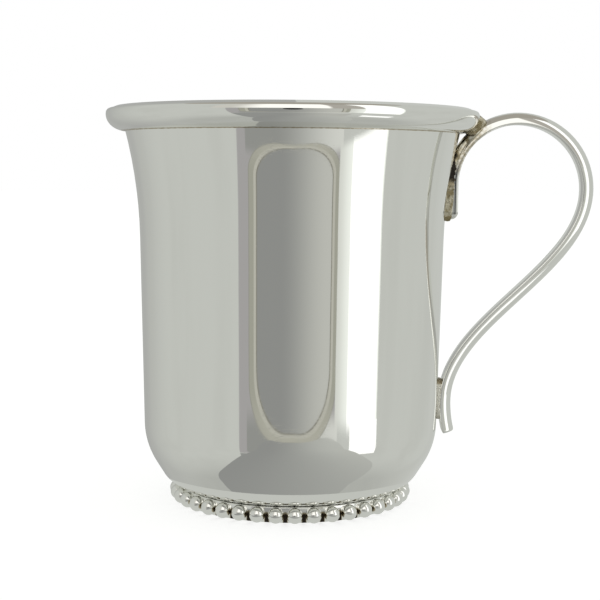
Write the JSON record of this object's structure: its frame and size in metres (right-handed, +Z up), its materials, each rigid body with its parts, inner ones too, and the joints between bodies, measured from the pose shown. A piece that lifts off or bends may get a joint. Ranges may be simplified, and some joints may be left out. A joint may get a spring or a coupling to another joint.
{
  "type": "handled silver cup",
  "caption": "Small polished silver drinking cup with a straight spun body, flared mouth, rounded rim wire, beaded foot ring and a half-round strap handle.",
  "frame": {"origin": "on the table, under the middle of the whole outline of cup and handle", "axes": "+Z up the cup's axis, +X towards the handle, +Y away from the picture's viewer"},
  "size_m": [0.0876, 0.0666, 0.0706],
  "materials": {
    "polished_silver": "mirror polished silver with fine handling scratches",
    "bead_silver": "polished silver beads, darkened between them",
    "tarnished_solder": "dull solder with brown and dark tarnish",
    "pale_solder": "pale satin solder"
  },
  "bodies": {
    "root": {"cup_body": "polished_silver", "rim_wire": "polished_silver", "foot_bead_ring": "bead_silver", "handle_strap": "polished_silver", "neck_solder_seam": "tarnished_solder", "rim_solder_seam": "tarnished_solder", "tail_solder_seam": "pale_solder", "foot_solder_seam": "pale_solder"}
  },
  "joints": []
}
